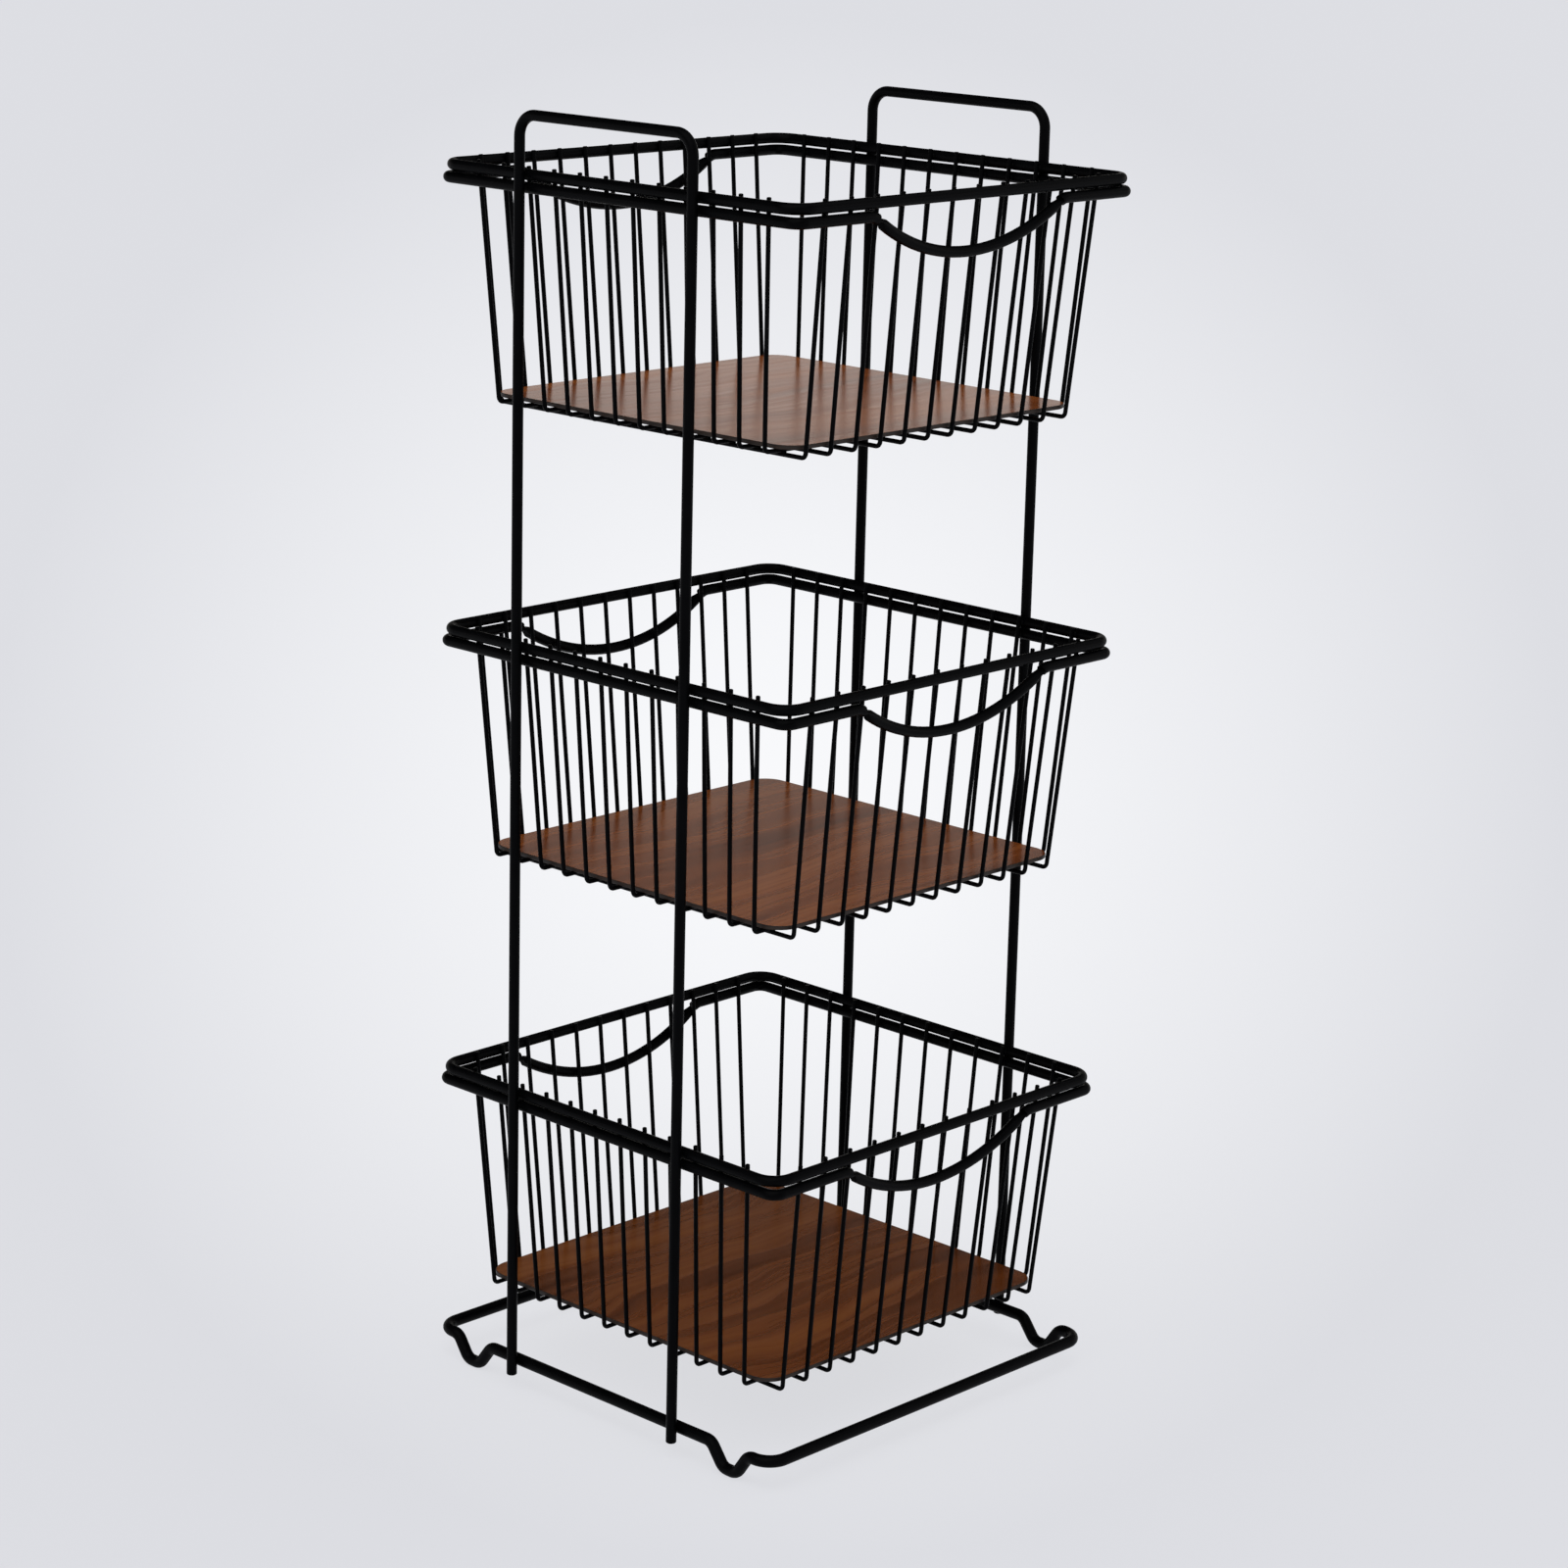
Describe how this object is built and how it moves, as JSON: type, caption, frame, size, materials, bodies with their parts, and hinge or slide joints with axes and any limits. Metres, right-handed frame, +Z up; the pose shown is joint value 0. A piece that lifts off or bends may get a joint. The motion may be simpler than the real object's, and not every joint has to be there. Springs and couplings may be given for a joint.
{
  "type": "tiered wire basket rack",
  "caption": "Free-standing wire rack with three tapered open baskets, loose wooden floor boards, two hoop uprights that double as handles and a footed base ring.",
  "frame": {"origin": "on the floor under the middle of the rack", "axes": "+Z up, +X from one hoop to the other, +Y from front to back"},
  "size_m": [0.3032, 0.2958, 0.7837],
  "materials": {
    "black_coating": "satin",
    "walnut_board": "satin"
  },
  "bodies": {
    "frame": {"base_ring": "black_coating", "left_hoop": "black_coating", "right_hoop": "black_coating", "bottom_upper_rim_and_long_wires": "black_coating", "bottom_lower_rim": "black_coating", "bottom_cross_wire_01": "black_coating", "bottom_cross_wire_02": "black_coating", "bottom_cross_wire_03": "black_coating", "bottom_cross_wire_04": "black_coating", "bottom_cross_wire_05": "black_coating", "bottom_cross_wire_06": "black_coating", "bottom_cross_wire_07": "black_coating", "bottom_cross_wire_08": "black_coating", "bottom_cross_wire_09": "black_coating", "bottom_cross_wire_10": "black_coating", "bottom_cross_wire_11": "black_coating", "bottom_cross_wire_12": "black_coating", "middle_upper_rim_and_long_wires": "black_coating", "middle_lower_rim": "black_coating", "middle_cross_wire_01": "black_coating", "middle_cross_wire_02": "black_coating", "middle_cross_wire_03": "black_coating", "middle_cross_wire_04": "black_coating", "middle_cross_wire_05": "black_coating", "middle_cross_wire_06": "black_coating", "middle_cross_wire_07": "black_coating", "middle_cross_wire_08": "black_coating", "middle_cross_wire_09": "black_coating", "middle_cross_wire_10": "black_coating", "middle_cross_wire_11": "black_coating", "middle_cross_wire_12": "black_coating", "top_upper_rim_and_long_wires": "black_coating", "top_lower_rim": "black_coating", "top_cross_wire_01": "black_coating", "top_cross_wire_02": "black_coating", "top_cross_wire_03": "black_coating", "top_cross_wire_04": "black_coating", "top_cross_wire_05": "black_coating", "top_cross_wire_06": "black_coating", "top_cross_wire_07": "black_coating", "top_cross_wire_08": "black_coating", "top_cross_wire_09": "black_coating", "top_cross_wire_10": "black_coating", "top_cross_wire_11": "black_coating", "top_cross_wire_12": "black_coating"},
    "bottom_board": {"bottom_board": "walnut_board"},
    "middle_board": {"middle_board": "walnut_board"},
    "top_board": {"top_board": "walnut_board"}
  },
  "joints": [
    {"name": "bottom_board_lift", "type": "slide", "parent": "frame", "child": "bottom_board", "axis": [0, 0, 1], "range_m": [0, 0.25]},
    {"name": "middle_board_lift", "type": "slide", "parent": "frame", "child": "middle_board", "axis": [0, 0, 1], "range_m": [0, 0.25]},
    {"name": "top_board_lift", "type": "slide", "parent": "frame", "child": "top_board", "axis": [0, 0, 1], "range_m": [0, 0.25]}
  ]
}
